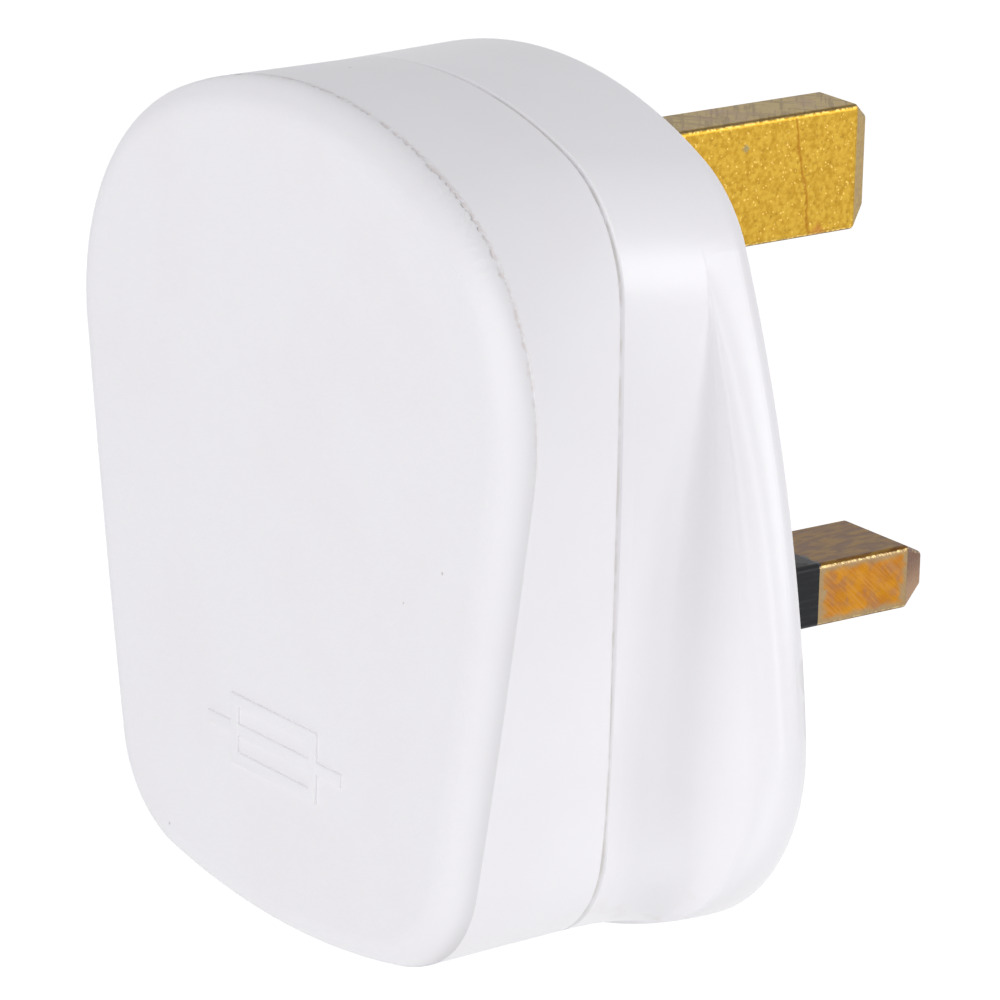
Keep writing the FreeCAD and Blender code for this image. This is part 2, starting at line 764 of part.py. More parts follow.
def add_sleeved_shank(body, x):
    """A short pin: full section in the base, a neck under the sleeve, and the bare brass end."""
    neck_width = d.pin_width - d.sleeve_skin * 2
    neck_thickness = d.pin_thickness - d.sleeve_skin * 2
    bare = across(body, "bare_end", -d.sleeve_reach)
    rectangle(bare, x, 0, d.pin_width, d.pin_thickness)
    pad(body, bare, d.pin_reach - d.sleeve_reach - d.pin_tip_length, reverse=True)
    size = (d.pin_width, d.pin_thickness, d.pin_reach, d.pin_tip_length, d.pin_tip_inset)
    tip = add_tip(body, x, as_size(0), *size)
    round_shank(body, tip, d.sleeve_reach)
    neck = across(body, "neck", d.floor_thickness)
    rectangle(neck, x, 0, neck_width, neck_thickness)
    pad(body, neck, d.floor_thickness + d.sleeve_reach, reverse=True)
    root = across(body, "root", d.floor_thickness)
    rectangle(root, x, 0, d.pin_width, d.pin_thickness)
    pad(body, root, d.floor_thickness - d.sleeve_root, reverse=True)


def make_neutral_pin():
    """The neutral pin, with its terminal block."""
    body = new_body("neutral_pin")
    add_sleeved_shank(body, -live_x)
    block = across(body, "block", d.floor_thickness)
    rectangle(block, -live_x, neutral_block_z, d.neutral_block_width, d.neutral_block_length)
    pad(body, block, d.block_height)
    wire_depth = d.floor_thickness + d.wire_hole_height
    wire = level(body, "wire_hole", neutral_block_z - d.neutral_block_length / 2)
    circle(wire, -live_x, -wire_depth, d.wire_hole)
    pocket(body, wire, d.wire_hole_reach, reverse=True)
    drill_terminal(body, -live_x, neutral_screw_z, block_top, wire_depth)
    make_terminal_screw("neutral_terminal_screw", -live_x, neutral_screw_z, block_top, wire_depth)


def make_live_pin():
    """The live pin: its flat head carries a fuse clip, held by a peened rivet end."""
    body = new_body("live_pin")
    add_sleeved_shank(body, live_x)
    head = across(body, "head", d.floor_thickness)
    head_width = d.pin_width + d.live_head_margin * 2
    rectangle(head, live_x, 0, head_width, d.pin_thickness + d.live_head_margin * 2)
    pad(body, head, d.live_head_height)
    stem = across(body, "rivet_stem", clip_foot_depth)
    circle(stem, live_x, 0, d.rivet_diameter)
    pad(body, stem, d.clip_strip)
    peen = across(body, "rivet_head", clip_foot_depth + d.clip_strip)
    circle(peen, live_x, 0, d.rivet_head)
    pad(body, peen, d.rivet_head_height)


def make_sleeve(name, x):
    """A moulded sleeve, flush with the brass of its pin."""
    body = new_body(name)
    ring = across(body, "ring", d.sleeve_root)
    rectangle(ring, x, 0, d.pin_width, d.pin_thickness)
    tube = pad(body, ring, d.sleeve_root + d.sleeve_reach, reverse=True)
    edges = edges_where(tube, lambda low, high: high - low > TINY)
    dress(body, "Fillet", tube, edges, d.pin_edge_round)
    bore = across(body, "bore", d.sleeve_root)
    neck_width = d.pin_width - d.sleeve_skin * 2
    rectangle(bore, x, 0, neck_width, d.pin_thickness - d.sleeve_skin * 2)
    pocket(body, bore, d.sleeve_root + d.sleeve_reach)


def make_terminal_screw(name, x, z, seat, tip_depth):
    """A slotted cheese-head clamp screw, run down almost to its block."""
    body = new_body(name)
    head_low = seat + d.terminal_screw_stand
    head = across(body, "head", head_low)
    circle(head, x, z, d.terminal_screw_head)
    pad(body, head, d.terminal_screw_head_height)
    shank = across(body, "shank", tip_depth)
    circle(shank, x, z, d.terminal_screw_thread)
    pad(body, shank, head_low - tip_depth)
    slot = across(body, "slot", head_low + d.terminal_screw_head_height)
    rectangle(slot, x, z, d.terminal_screw_head * THROUGH, d.terminal_screw_slot)
    pocket(body, slot, d.terminal_screw_head_height / 2)


def make_live_terminal():
    """The brass pillar that the live core goes to, riveted to the upper fuse clip."""
    body = new_body("live_terminal")
    block = across(body, "block", live_block_seat)
    rectangle(block, live_x, live_block_mid, d.live_block_width, d.live_block_length)
    pad(body, block, d.live_block_height)
    stem = across(body, "rivet_stem", clip_foot_depth)
    circle(stem, live_x, live_block_mid, d.rivet_diameter)
    pad(body, stem, d.clip_strip)
    peen = across(body, "rivet_head", clip_foot_depth - d.rivet_head_height)
    circle(peen, live_x, live_block_mid, d.rivet_head)
    pad(body, peen, d.rivet_head_height)
    wire_depth = live_block_seat + d.wire_hole_height
    wire = upright(body, "wire_hole", live_x - d.live_block_width / 2)
    circle(wire, -wire_depth, live_block_mid, d.wire_hole)
    pocket(body, wire, d.live_block_width, reverse=True)
    drill_terminal(body, live_x, live_block_mid, live_block_top, wire_depth)
    make_terminal_screw("live_terminal_screw", live_x, live_block_mid, live_block_top, wire_depth)


def make_fuse_clip(name, clip_low, foot_low, foot_high, rivet_z):
    """A spring clip: a strip bent to a channel whose arms close over a fuse cap."""
    body = new_body(name)
    wall_height = fuse_depth - clip_foot_depth
    channel = level(body, "channel", clip_low)
    rectangle(channel, live_x, -(fuse_depth - wall_height / 2), clip_outer * 2, wall_height)
    pad(body, channel, d.clip_length)
    arms = level(body, "arms", clip_low)
    circle(arms, live_x, -fuse_depth, clip_outer * 2)
    pad(body, arms, d.clip_length)
    seat = level(body, "cap_seat", clip_low)
    circle(seat, live_x, -fuse_depth, clip_inner * 2)
    pocket(body, seat, d.clip_length, reverse=True)
    hollow = level(body, "hollow", clip_low)
    hollow_height = wall_height - d.clip_strip
    rectangle(hollow, live_x, -(fuse_depth - hollow_height / 2), clip_inner * 2, hollow_height)
    pocket(body, hollow, d.clip_length, reverse=True)
    mouth = level(body, "mouth", clip_low)
    rectangle(mouth, live_x, -(fuse_depth + clip_outer), d.clip_mouth, clip_outer * 2)
    pocket(body, mouth, d.clip_length, reverse=True)
    foot = across(body, "foot", clip_foot_depth)
    rectangle(foot, live_x, (foot_low + foot_high) / 2, clip_inner * 2, foot_high - foot_low)
    pad(body, foot, d.clip_strip)
    hole = across(body, "rivet_hole", clip_foot_depth)
    circle(hole, live_x, rivet_z, d.rivet_diameter)
    pocket(body, hole, d.clip_strip, reverse=True)


def make_fuse():
    """The cartridge fuse: a ceramic barrel, two pressed caps and the wire between them."""
    barrel_diameter = d.fuse_diameter - d.fuse_cap_skin * 2 - d.fuse_fit * 2
    barrel_length = d.fuse_length - d.fuse_cap_end * 2
    body = new_body("fuse_barrel")
    tube = level(body, "tube", fuse_low + d.fuse_cap_end)
    circle(tube, live_x, -fuse_depth, barrel_diameter)
    circle(tube, live_x, -fuse_depth, d.fuse_bore)
    pad(body, tube, barrel_length)

    element = new_body("fuse_element")
    wire = level(element, "wire", fuse_low + d.fuse_cap_end)
    circle(wire, live_x, -fuse_depth, d.fuse_wire)
    pad(element, wire, barrel_length)

    cup_depth = d.fuse_cap_length - d.fuse_cap_end
    for name, start, cup_start in (
        ("fuse_cap_lower", fuse_low, fuse_low + d.fuse_cap_end),
        ("fuse_cap_upper", fuse_high - d.fuse_cap_length, fuse_high - d.fuse_cap_length),
    ):
        cap = new_body(name)
        blank = level(cap, "blank", start)
        circle(blank, live_x, -fuse_depth, d.fuse_diameter)
        pad(cap, blank, d.fuse_cap_length)
        cup = level(cap, "cup", cup_start)
        circle(cup, live_x, -fuse_depth, d.fuse_diameter - d.fuse_cap_skin * 2)
        pocket(cap, cup, cup_depth, reverse=True)


def make_cord_grip():
    """The saddle that clamps the flex to the base, with a foot on each boss."""
    body = new_body("cord_grip")
    low = -grip_drop - d.grip_length / 2
    span = grip_half * 2
    feet = level(body, "feet", low)
    rectangle(feet, 0, -(grip_seat + d.grip_strip / 2), span, d.grip_strip)
    pad(body, feet, d.grip_length)
    arch = level(body, "arch", low)
    circle(arch, 0, -d.base_depth, grip_outer * 2)
    pad(body, arch, d.grip_length)
    underside = level(body, "underside", low)
    rectangle(underside, 0, -(grip_seat - grip_outer), span * THROUGH, grip_outer * 2)
    pocket(body, underside, d.grip_length, reverse=True)
    throat = level(body, "throat", low)
    circle(throat, 0, -d.base_depth, grip_inner * 2)
    pocket(body, throat, d.grip_length, reverse=True)
    legs = level(body, "legs", low)
    rectangle(legs, 0, -(d.base_depth - grip_inner), grip_inner * 2, grip_inner * 2)
    pocket(body, legs, d.grip_length, reverse=True)
    holes = across(body, "holes", grip_seat + d.grip_strip)
    for side in (-1, 1):
        circle(holes, grip_screw_x * side, -grip_drop, d.grip_screw + d.screw_hole_fit * 2)
    pocket(body, holes, d.grip_strip)


def make_grip_screws():
    """The two screws of the cord grip, as one group."""
    screws = []
    seat = grip_seat + d.grip_strip
    for side, word in ((-1, "left"), (1, "right")):
        body = new_body(f"grip_screw_{word}")
        x = grip_screw_x * side
        head = across(body, "head", seat)
        circle(head, x, -grip_drop, d.grip_screw_head)
        pad(body, head, d.grip_screw_head_height)
        shank_end = grip_seat - d.grip_screw_bite
        shank = across(body, "shank", shank_end)
        circle(shank, x, -grip_drop, d.grip_screw)
        pad(body, shank, seat - shank_end)
        slot = across(body, "slot", seat + d.grip_screw_head_height)
        rectangle(slot, x, -grip_drop, d.grip_screw_head * THROUGH, d.terminal_screw_slot)
        pocket(body, slot, d.grip_screw_head_height / 2)
        screws.append(body)
    group = doc.addObject("Part::Compound", "cord_grip_screws")
    group.Links = screws
    group.Label = "cord_grip_screws"
    return group


def make_cover_screw():
    """The captive screw, worked from the pin side, with its retaining washer and its nut."""
    body = new_body("cover_screw")
    head = across(body, "head", d.screw_head_sink)
    circle(head, 0, d.screw_rise, d.screw_head)
    pad(body, head, d.screw_head_height)
    shank = across(body, "shank", head_seat)
    circle(shank, 0, d.screw_rise, d.screw_thread)
    pad(body, shank, screw_end - head_seat)
    slot = across(body, "slot", d.screw_head_sink)
    rectangle(slot, 0, d.screw_rise, d.screw_head * THROUGH, d.screw_slot)
    pocket(body, slot, d.screw_slot_depth, reverse=True)

    washer = new_body("cover_screw_washer")
    ring = across(washer, "ring", pillar_top)
    circle(ring, 0, d.screw_rise, d.washer_diameter)
    circle(ring, 0, d.screw_rise, d.screw_thread + d.thread_fit * 2)
    pad(washer, ring, d.washer_thickness)

    nut = new_body("cover_nut")
    blank = across(nut, "blank", nut_low)
    hexagon(blank, 0, d.screw_rise, d.nut_flats)
    circle(blank, 0, d.screw_rise, d.screw_thread + d.thread_fit * 2)
    pad(nut, blank, d.nut_height)


make_base()
make_cover()
make_earth_pin()
make_neutral_pin()
make_live_pin()
make_sleeve("neutral_pin_sleeve", -live_x)
make_sleeve("live_pin_sleeve", live_x)
make_live_terminal()
lower_clip = fuse_low + d.fuse_cap_length / 2 - d.clip_length / 2
upper_clip = fuse_high - d.fuse_cap_length / 2 - d.clip_length / 2
lower_foot = d.rivet_head / 2 + d.clip_foot_margin
make_fuse_clip("live_pin_fuse_clip", lower_clip, lower_clip, lower_foot, 0)
make_fuse_clip("terminal_fuse_clip", upper_clip, upper_clip, live_block_high, live_block_mid)
make_fuse()
make_cord_grip()
screw_group = make_grip_screws()
make_cover_screw()
doc.recompute()


def check_document(pieces):
    """Stop if any object failed, any piece isn't a valid solid, or any cut removed nothing."""
    volumes = {}
    for item in doc.Objects:
        if "Invalid" in item.State or "Error" in item.State:
            raise RuntimeError(f"{item.Name} failed: {item.State}")
        if item.isDerivedFrom("PartDesign::FeatureAddSub"):
            volumes[item.Name] = item.Shape.Volume
            cuts = item.TypeId in ("PartDesign::Pocket", "PartDesign::SubtractiveLoft")
            if cuts and volumes[item.Name] > volumes.get(item.BaseFeature.Name, math.inf) - TINY:
                raise RuntimeError(f"{item.Name} cuts nothing")
    for piece in pieces:
        if piece.Shape.isNull() or not piece.Shape.isValid():
            raise RuntimeError(f"{piece.Label} has no valid shape")
        solids = len(piece.Shape.Solids)
        expected = len(piece.Links) if piece.TypeId == "Part::Compound" else 1
        if solids != expected:
            raise RuntimeError(f"{piece.Label} has {solids} solids")


grouped = set(item.Name for item in screw_group.Links)
bodies = [item for item in doc.Objects if item.TypeId == "PartDesign::Body"]
pieces = [item for item in bodies if item.Name not in grouped] + [screw_group]
check_document(pieces)
os.makedirs("parts", exist_ok=True)
for piece in pieces:
    piece.Shape.exportStep(os.path.join("parts", f"{piece.Label}.step"))
    print(f"{piece.Label}: {piece.Shape.Volume:.1f} mm3")
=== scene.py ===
# %% [markdown]
# A white three pin plug with flat brass pins.
# The solids come from the packed CAD model, in metres: the pins point along +Y, the earth pin is on top
# along +Z, and the cover faces -Y. This script gives them their finishes, adds the small traces that
# moulding and use have left on the real plug, adds a little painted shade along the cover's crease, and
# sets up the floor, the light and the camera.

# %% Load the solids
import math

import bpy
from mathutils import Matrix, Vector


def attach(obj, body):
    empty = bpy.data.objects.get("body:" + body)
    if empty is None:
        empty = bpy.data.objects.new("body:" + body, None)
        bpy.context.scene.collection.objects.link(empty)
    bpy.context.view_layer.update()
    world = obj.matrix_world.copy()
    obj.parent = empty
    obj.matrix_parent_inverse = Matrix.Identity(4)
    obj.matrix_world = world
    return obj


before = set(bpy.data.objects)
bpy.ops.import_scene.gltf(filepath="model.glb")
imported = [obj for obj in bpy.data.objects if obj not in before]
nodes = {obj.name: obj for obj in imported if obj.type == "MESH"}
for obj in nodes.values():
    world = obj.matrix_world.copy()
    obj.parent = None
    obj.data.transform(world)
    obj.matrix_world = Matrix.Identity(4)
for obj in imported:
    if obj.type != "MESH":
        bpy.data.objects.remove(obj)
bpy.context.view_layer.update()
bpy.ops.object.select_all(action="DESELECT")
MM = 0.001

# %% [markdown]
# A finish is a small network of shader nodes. Written out link by link it is hard to read, so two small
# classes stand in for the mouse. The first is a Wire: one output socket that understands + - * /, so that
# a mask reads like a sum. Each sign adds one Math node to the network that the wire belongs to.


# %% A wire between shader nodes
class Wire:
    """One output of a node in a finish."""

    def __init__(self, finish, socket):
        self.finish = finish
        self.socket = socket

    def math(self, operation, *values):
        return self.finish.add("ShaderNodeMath", {"operation": operation}, dict(enumerate(values)))

    def __add__(self, other):
        return self.math("ADD", self, other)

    def __sub__(self, other):
        return self.math("SUBTRACT", self, other)

    def __rsub__(self, other):
        return self.math("SUBTRACT", other, self)

    def __mul__(self, other):
        return self.math("MULTIPLY", self, other)

    def __truediv__(self, other):
        return self.math("DIVIDE", self, other)

    def __abs__(self):
        return self.math("ABSOLUTE", self)

    __radd__ = __add__
    __rmul__ = __mul__

    def over(self, other):
        """The larger of two values."""
        return self.math("MAXIMUM", self, other)

    def upto(self, other):
        """The smaller of two values."""
        return self.math("MINIMUM", self, other)

    def rising(self, low, high):
        """0 below low, 1 above high, and smooth between them."""
        sockets = {"Value": self, "From Min": low, "From Max": high}
        return self.finish.add("ShaderNodeMapRange", {"interpolation_type": "SMOOTHSTEP"}, sockets)

    def falling(self, low, high):
        """1 below low, 0 above high, and smooth between them."""
        return 1 - self.rising(low, high)

    def near(self, middle, half, blur):
        """1 within a half width of a middle, fading out over a blur."""
        return abs(self - middle).falling(half, half + blur)


print("a wire knows:", ", ".join(name for name in vars(Wire) if not name.startswith("_")))

# %% [markdown]
# The second class is a Finish: one material. It adds a node from its type, its settings and its sockets, and
# it knows the place on the piece in millimetres and the way the surface faces. Its patterns are given by the
# size that they have on the real plug, so a grain of 0.1 is a tenth of a millimetre wide.


# %% A finish made of wires
class Finish:
    """A procedural material that is written as expressions."""

    def __init__(self, name):
        self.material = bpy.data.materials.new(name)
        self.material.use_nodes = True
        self.tree = self.material.node_tree
        self.shader = self.tree.nodes["Principled BSDF"]
        source = self.tree.nodes.new("ShaderNodeTexCoord")
        self.place = Wire(self, source.outputs["Object"])
        self.x, self.y, self.z = [axis / MM for axis in self.split(self.place)]
        self.face_x, self.face_y, self.face_z = self.split(Wire(self, source.outputs["Normal"]))

    def add(self, kind, settings, sockets, output=None):
        """Add a node: first its settings, then the values or links of its sockets."""
        node = self.tree.nodes.new(kind)
        for name, value in settings.items():
            setattr(node, name, value)
        self.plug(node, sockets)
        shown = [socket for socket in node.outputs if socket.enabled]
        return Wire(self, node.outputs[output] if output else shown[0])

    def plug(self, node, sockets):
        """Set a node's sockets, by number or by name, to values or to wires."""
        for name, value in sockets.items():
            shown = [socket for socket in node.inputs if socket.enabled]
            socket = shown[name] if isinstance(name, int) else next(s for s in shown if s.name == name)
            if isinstance(value, Wire):
                self.tree.links.new(value.socket, socket)
            else:
                socket.default_value = value

    def split(self, vector):
        """The three parts of a vector."""
        node = self.tree.nodes.new("ShaderNodeSeparateXYZ")
        self.plug(node, {"Vector": vector})
        return [Wire(self, socket) for socket in node.outputs]

    def stretch(self, sizes, turn=(0, 0, 0)):
        """The place on the piece, turned, with patterns drawn out along each axis."""
        sockets = {"Vector": self.place, "Rotation": turn, "Scale": sizes}
        return self.add("ShaderNodeMapping", {"vector_type": "TEXTURE"}, sockets)

    def noise(self, size, detail=2.0, vector=None):
        """Soft noise from 0 to 1 with spots of about the given size in millimetres."""
        sockets = {"Vector": vector or self.place, "Scale": 1 / (size * MM), "Detail": detail}
        return self.add("ShaderNodeTexNoise", {}, sockets, "Fac")

    def cells(self, size, output):
        """Cells of the given size in millimetres, each around a random point."""
        sockets = {"Vector": self.place, "Scale": 1 / (size * MM)}
        return self.add("ShaderNodeTexVoronoi", {}, sockets, output)

    def grains(self, size):
        """A random number from 0 to 1 for each grain of the given size in millimetres."""
        return self.split(self.cells(size, "Color"))[0]

    def dots(self, size, radius):
        """Round dots of a radius, about a size apart, both in millimetres."""
        return self.cells(size, "Distance").falling(radius / size / 2, radius / size)

    def mix(self, share, first, second):
        """One colour turning into another."""
        sockets = {"Factor": share, "A": first, "B": second}
        return self.add("ShaderNodeMix", {"data_type": "RGBA"}, sockets)

    def bump(self, height, depth, under=None):
        """A normal bent by a height from 0 to 1 that stands for a depth in millimetres."""
        sockets = {"Distance": depth * MM, "Height": height}
        return self.add("ShaderNodeBump", {}, sockets | ({"Normal": under} if under else {}))

    def set(self, **sockets):
        """Set the sockets of the finish's own shader."""
        self.plug(self.shader, {name.replace("_", " "): value for name, value in sockets.items()})


print("a finish knows:", ", ".join(name for name in vars(Finish) if not name.startswith("_")))

# %% [markdown]
# Two more helpers. Colours are easiest to judge as a screen shows them, from 0 to 255, but the shader counts
# light, so each value is straightened out first. And a finish goes onto a piece by name, in place of the
# plain one that the piece came with.


# %% Colours and painting
def straight(value):
    """One screen value from 0 to 255 as an amount of light from 0 to 1."""
    share = value / 255
    return share / 12.92 if value <= 10 else ((share + 0.055) / 1.055) ** 2.4


def shade(red, green, blue):
    """A colour as a screen shows it, turned into the linear values that the shader works with."""
    return (straight(red), straight(green), straight(blue), 1.0)


def paint(finish, *names):
    """Give one finish to the named pieces."""
    for name in names:
        piece = nodes[name]
        piece.data.materials.clear()
        piece.data.materials.append(finish.material)
    print(finish.material.name, "on", ", ".join(names))


print("screen grey 128 as light:", round(shade(128, 128, 128)[0], 3))

# %% [markdown]
# Both halves are moulded from a hard white plastic. It isn't one even white: faint clouds come from the way
# it flowed into the mould, and years of use leave a line of grey dirt where the halves meet and a few
# specks. All of it follows the place on the piece in millimetres, so it stays where it is from every side.

# %% White plastic
SEAM_Y = -8.95
WHITE, WARM_WHITE = shade(243, 241, 244), shade(240, 237, 240)
SEAM_DIRT, SPECK = shade(206, 202, 190), shade(120, 108, 98)
CLOUD, WANDER = 9.0, 1.4
SPECK_APART, SPECK_RADIUS = 3.4, 0.13


def moulded(name):
    """White plastic with its faint clouds, its specks and the dirt in the seam."""
    finish = Finish(name)
    clouds = finish.noise(CLOUD, 3.0).rising(0.42, 0.66)
    colour = finish.mix(clouds * 0.4, WHITE, WARM_WHITE)
    wander = finish.noise(WANDER, 3.0)
    seam = finish.y.near(SEAM_Y, 0.05, 0.1) * wander.rising(0.3, 0.62)
    colour = finish.mix(seam * 0.4, colour, SEAM_DIRT)
    rare = finish.grains(SPECK_APART).rising(0.66, 0.7)
    specks = finish.dots(SPECK_APART, SPECK_RADIUS) * rare
    return finish, finish.mix(specks * 0.4, colour, SPECK)


print("white plastic with specks about", SPECK_APART, "mm apart and dirt at y", SEAM_Y, "mm")

# %% [markdown]
# The cover's mould was polished on the sides and finely etched on the flat face, so the cover is satin round
# its edge and matt in front. Where the two parts of that mould met, behind the rounded rim, a thin ragged
# edge of flash was left, most of it at the top. The brown line along it is partly dirt caught on the flash
# and partly painted shade that marks the crease, strongest at the top. The rim is a plain round in the
# solid; the last sharpness of its back edge is too fine for that and is drawn by a bent normal.

# %% Cover
CREASE_Y, FACE_Y = -17.9, -20.05
CREASE_DIRT_AND_SHADE = shade(190, 158, 142)
RAGS, ETCHING, WAVES = 0.45, 0.16, 1.1
LIP_REACH, LIP_DEPTH, RELIEF = 1.8, 1.6, 0.02
SATIN, MATT = 0.38, 0.52

cover_finish, cover_colour = moulded("cover_plastic")
front = cover_finish.y.falling(FACE_Y + 0.1, FACE_Y + 1.1)
ragged = cover_finish.noise(RAGS, 4.0)
upper = cover_finish.z.rising(12, 25)
rim_shift = (ragged - 0.5) * (upper * 0.8 + 0.15)
rim_edge = abs(cover_finish.y - CREASE_Y + rim_shift).falling(0.02, 0.24)
# painted shade: the brown crease line is partly dirt on the flash and partly painted shade along the crease,
# heavier towards the top
dirt_and_shade_share = upper * 0.8 + cover_finish.z.rising(8, 16) * 0.2
crease_dirt_and_shade = rim_edge * dirt_and_shade_share * ragged.rising(0.36, 0.6)
cover_colour = cover_finish.mix(crease_dirt_and_shade * 0.3, cover_colour, CREASE_DIRT_AND_SHADE)
etched = cover_finish.noise(ETCHING, 3.0) * front
lip_rise = cover_finish.y.upto(CREASE_Y).rising(CREASE_Y - LIP_REACH, CREASE_Y + LIP_REACH)
lip = cover_finish.bump(lip_rise, LIP_DEPTH)
ridge_back = cover_finish.y.falling(CREASE_Y - 0.2, CREASE_Y + 0.1)
ridge = ridge_back * cover_finish.y.rising(FACE_Y + 0.4, FACE_Y + 1.2)
flash = (rim_edge + ridge) * ragged * cover_finish.z.rising(21, 28)
cover_finish.set(
    Base_Color=cover_colour,
    Roughness=front * (MATT - SATIN) + SATIN,
    Normal=cover_finish.bump(etched + flash * 3 + cover_finish.noise(WAVES) * 0.3, RELIEF, lip),
)
paint(cover_finish, "cover")

# %% [markdown]
# The base is glossier than the cover, because fingers polish its grip each time the plug is pulled. Its gloss
# is a little uneven and its surface faintly wavy. Low on the live side, towards the bottom edge, it is
# darkened in patches to a pale brown.

# %% Base
SMUDGE_COLOUR = shade(205, 186, 160)
SMUDGE, GLOSS_PATCH, BASE_WAVE_DEPTH = 1.5, 5.0, 0.012
GLOSS, GLOSS_SPREAD = 0.29, 0.05

base_finish, base_colour = moulded("base_plastic")
low = base_finish.z.falling(-19, -13) * base_finish.x.rising(8, 16)
smudge = base_finish.noise(SMUDGE, 4.0).rising(0.52, 0.72) * low
base_colour = base_finish.mix(smudge * 0.16, base_colour, SMUDGE_COLOUR)
base_finish.set(
    Base_Color=base_colour,
    Roughness=base_finish.noise(GLOSS_PATCH, 3.0) * GLOSS_SPREAD + GLOSS,
    Normal=base_finish.bump(base_finish.noise(WAVES), BASE_WAVE_DEPTH),
)
paint(base_finish, "base")

# %% [markdown]
# The cord grip inside is a small moulding of the same plastic. Nobody sees it, so its mould was left plain
# and a little rough.

# %% Cord grip
grip_finish, grip_colour = moulded("grip_plastic")
grip_relief = grip_finish.bump(grip_finish.noise(0.3), 0.01)
grip_finish.set(Base_Color=grip_colour, Roughness=0.45, Normal=grip_relief)
paint(grip_finish, "cord_grip")

# %% [markdown]
# One mark stands on the face in low relief: the drawing symbol of a fuse, a box with a wire through it,
# because the plug holds one. In the mould it is engraved, so on the plug it is a sixth of a millimetre high
# and its edges are soft. It is drawn as two flat sheets: the box is inset to a frame and loses its middle,
# and both are pulled up, rounded, joined and stood against the face.

# %% Fuse mark
MARK_Z, BOX_WIDE, BOX_HIGH, WIRE_LONG, LINE_WIDE = -8.3, 9.0, 4.4, 14.0, 0.8
WIRE_RELIEF, BOX_RELIEF, EDGE_ROUND, SMOOTH_UP_TO = 0.13, 0.16, 0.07, 40


def flat_sheet(wide, high):
    """A flat rectangle on the ground, open for editing with all of it selected."""
    bpy.ops.object.select_all(action="DESELECT")
    bpy.ops.mesh.primitive_plane_add(size=MM)
    bpy.ops.object.mode_set(mode="EDIT")
    bpy.ops.mesh.select_all(action="SELECT")
    bpy.ops.transform.resize(value=(wide, high, 1))


def pull_up(height):
    """Pull the whole sheet up to a height, round its upper edges and stop editing."""
    bpy.ops.mesh.select_all(action="SELECT")
    bpy.ops.mesh.extrude_region_move(TRANSFORM_OT_translate={"value": (0, 0, height * MM)})
    bpy.ops.mesh.region_to_loop()
    bpy.ops.mesh.bevel(offset=EDGE_ROUND * MM, segments=3)
    bpy.ops.object.mode_set(mode="OBJECT")
    return bpy.context.object


flat_sheet(WIRE_LONG, LINE_WIDE)
fuse_line = pull_up(WIRE_RELIEF)
flat_sheet(BOX_WIDE, BOX_HIGH)
bpy.ops.mesh.inset(thickness=LINE_WIDE * MM)
bpy.ops.mesh.delete(type="FACE")
fuse_mark = pull_up(BOX_RELIEF)
fuse_line.select_set(True)
bpy.ops.object.join()
fuse_mark.name = "fuse_mark"
fuse_mark.rotation_euler = (math.pi / 2, 0, 0)
fuse_mark.location = (0, FACE_Y * MM, MARK_Z * MM)
bpy.ops.object.transform_apply(location=True, rotation=True, scale=True)
bpy.ops.object.shade_smooth_by_angle(angle=math.radians(SMOOTH_UP_TO))
fuse_mark.data.materials.append(cover_finish.material)
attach(fuse_mark, "root")
print("fuse_mark:", len(fuse_mark.data.polygons), "faces")

# %% [markdown]
# The earth pin is bare brass, cut from flat bar. Its broad sides are bright gold and a little rough from the
# rolling, with sparks of clean metal, dull pits, a dent, a stain and one hair crack. The bar's skin is only
# hundredths of a millimetre deep, so it is a finish and not a shape.

# %% Earth pin: the broad sides
GOLD, DEEP_GOLD = shade(192, 156, 60), shade(172, 132, 42)
SPARK, PIT = shade(236, 200, 110), shade(124, 92, 40)
CRACK_COLOUR, DENT_COLOUR, STAIN_COLOUR = shade(146, 92, 24), shade(138, 130, 98), shade(170, 108, 56)
EARTH_Z, CRACK_Y, CRACK_LEAN = 22.2, 16.95, 0.2
DENT_Y, DENT_Z, STAIN_Y, STAIN_Z = 12.5, 24.5, 18.3, 18.5

earth = Finish("earth_brass")
grit = earth.noise(0.3, 5.0)
broad = earth.face_x.rising(0.5, 0.8)
gold = earth.mix(grit.rising(0.3, 0.7), DEEP_GOLD, GOLD)
gold = earth.mix(earth.grains(0.1).rising(0.972, 0.985) * 0.6, gold, SPARK)
gold = earth.mix(earth.grains(0.14).falling(0.02, 0.04) * 0.35, gold, PIT)
crack_line = CRACK_Y + (EARTH_Z - earth.z) * CRACK_LEAN + (earth.noise(1.2, 3.0) - 0.5) * 0.9
crack = abs(earth.y - crack_line).falling(0.02, 0.16) * broad
gold = earth.mix(crack * 0.6, gold, CRACK_COLOUR)
dent = (abs(earth.y - DENT_Y) + abs(earth.z - DENT_Z)).falling(0.15, 0.4) * broad
gold = earth.mix(dent * 0.8, gold, DENT_COLOUR)
stain = (abs(earth.y - STAIN_Y) + abs(earth.z - STAIN_Z)).falling(0.3, 0.8)
gold = earth.mix(stain * 0.6, gold, STAIN_COLOUR)
print("earth pin: hair crack at y", CRACK_Y, "mm, dent at y", DENT_Y, "mm")

# %% [markdown]
# The pin's narrow top and its bevelled end have gone olive and carry crossed file scratches: the same noise
# twice, drawn out along two slanting lines. Which face a point is on comes from the way it faces. Along the
# edges the brass is rubbed bright in places, beside a dark line.

# %% Earth pin: the narrow faces
OLIVE, DARK_OLIVE, DULL_BROWN = shade(162, 139, 84), shade(108, 86, 52), shade(140, 112, 92)
EDGE_LINE = shade(84, 64, 34)
DRAWN_OUT, HATCH_TURNS = (1, 14, 1), (0.9, -0.8)

